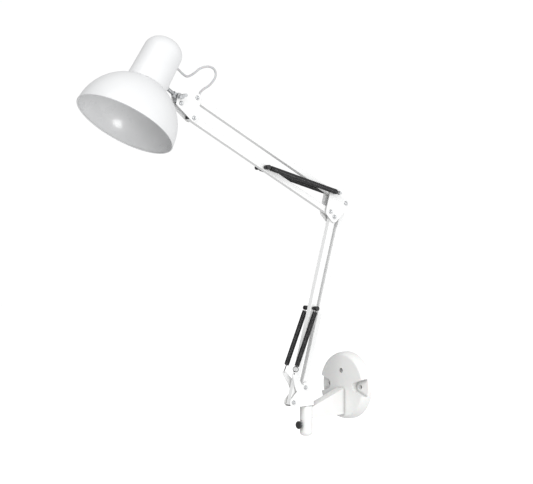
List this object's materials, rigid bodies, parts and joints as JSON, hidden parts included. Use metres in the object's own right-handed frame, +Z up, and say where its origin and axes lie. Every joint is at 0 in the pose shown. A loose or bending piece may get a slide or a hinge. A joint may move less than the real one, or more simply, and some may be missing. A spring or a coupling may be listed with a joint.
{
  "type": "swing arm desk lamp",
  "caption": "White wall-mounted swing arm lamp with two spring-balanced parallelogram arms of square tube and a tilting dome shade.",
  "frame": {"origin": "centre of the round wall plate, on its back face against the wall", "axes": "+Y into the wall (the plate's back normal), +Z up along the swivel axis, the lamp stands out towards -Y"},
  "size_m": [0.17, 0.5519, 0.6784],
  "materials": {
    "white_plastic": "satin",
    "white_enamel": "gloss",
    "black_plastic": "satin",
    "zinc_steel": "satin",
    "spring_steel": "blackened",
    "nylon": "matte",
    "holder_plastic": "satin",
    "brass": "satin",
    "flex_pvc": "satin"
  },
  "bodies": {
    "wall_mount": {"wall_plate": "white_plastic", "plate_arm": "white_plastic"},
    "clamp": {"clamp_knob": "black_plastic", "clamp_screw": "zinc_steel"},
    "base": {"swivel_pin": "zinc_steel", "swivel_washer": "zinc_steel", "base_bracket": "white_enamel", "base_rivets": "zinc_steel", "base_washers": "nylon", "lower_spring_right": "spring_steel", "lower_spring_left": "spring_steel"},
    "lower_front": {"lower_front_tube": "white_enamel", "lower_front_plugs": "black_plastic", "lower_spring_pin": "zinc_steel", "lower_pin_caps": "black_plastic"},
    "lower_rear": {"lower_rear_tube": "white_enamel", "lower_rear_plugs": "black_plastic"},
    "elbow": {"elbow_bracket": "white_enamel", "elbow_rivets": "zinc_steel", "elbow_washers": "nylon", "elbow_spring_pin": "zinc_steel", "upper_spring_right": "spring_steel", "upper_spring_left": "spring_steel"},
    "upper_main": {"upper_main_tube": "white_enamel", "upper_main_plugs": "black_plastic", "upper_spring_pin": "zinc_steel", "upper_pin_caps": "black_plastic"},
    "upper_top": {"upper_top_tube": "white_enamel", "upper_top_plugs": "black_plastic"},
    "head": {"head_bracket": "white_enamel", "head_rivets": "zinc_steel", "head_washers": "nylon", "tilt_bolt": "zinc_steel", "flex": "flex_pvc"},
    "wing": {"wing_nut": "zinc_steel"},
    "shade_head": {"tilt_lug": "zinc_steel", "shade_rod": "zinc_steel", "rod_nut": "zinc_steel", "shade": "white_enamel", "lamp_housing": "white_enamel", "lamp_holder": "holder_plastic", "holder_ring": "holder_plastic", "holder_shell": "brass", "holder_contact": "brass", "housing_grommet": "nylon"}
  },
  "joints": [
    {"name": "swivel", "type": "hinge", "parent": "wall_mount", "child": "base", "pos_m": [0, -0.1015, -0.05], "axis": [0, 0, 1], "range_deg": [-90, 90]},
    {"name": "clamp_knob_turn", "type": "hinge", "parent": "wall_mount", "child": "clamp", "pos_m": [0, -0.115, -0.062], "axis": [0, -1, 0], "range_deg": [-360, 0]},
    {"name": "lower_arm", "type": "hinge", "parent": "base", "child": "lower_front", "pos_m": [0, -0.1374, -0.02], "axis": [-1, 0, 0], "range_deg": [-90, 10], "deforming": ["lower_spring_right", "lower_spring_left"]},
    {"name": "lower_rear_link", "type": "hinge", "parent": "base", "child": "lower_rear", "pos_m": [0, -0.1103, 0.004], "axis": [-1, 0, 0], "range_deg": [-90, 10]},
    {"name": "elbow_level", "type": "hinge", "parent": "lower_front", "child": "elbow", "pos_m": [0, -0.04394, 0.3017], "axis": [-1, 0, 0], "range_deg": [-10, 90]},
    {"name": "upper_arm", "type": "hinge", "parent": "elbow", "child": "upper_main", "pos_m": [0, -0.05274, 0.3112], "axis": [-1, 0, 0], "range_deg": [-80, 50], "deforming": ["upper_spring_right", "upper_spring_left"]},
    {"name": "upper_top_link", "type": "hinge", "parent": "elbow", "child": "upper_top", "pos_m": [0, -0.04574, 0.3445], "axis": [-1, 0, 0], "range_deg": [-80, 50]},
    {"name": "head_level", "type": "hinge", "parent": "upper_main", "child": "head", "pos_m": [0, -0.35016, 0.46536], "axis": [-1, 0, 0], "range_deg": [-50, 80]},
    {"name": "shade_tilt", "type": "hinge", "parent": "head", "child": "shade_head", "pos_m": [0, -0.37716, 0.49887], "axis": [-1, 0, 0], "range_deg": [-45, 60], "deforming": ["flex"]},
    {"name": "wing_nut_turn", "type": "hinge", "parent": "head", "child": "wing", "pos_m": [0.013, -0.37716, 0.49887], "axis": [1, 0, 0], "range_deg": [0, 360]}
  ],
  "couplings": [
    {"joint": "lower_rear_link", "follows": "lower_arm", "ratio": 1},
    {"joint": "elbow_level", "follows": "lower_arm", "ratio": -1},
    {"joint": "upper_top_link", "follows": "upper_arm", "ratio": 1},
    {"joint": "head_level", "follows": "upper_arm", "ratio": -1}
  ]
}
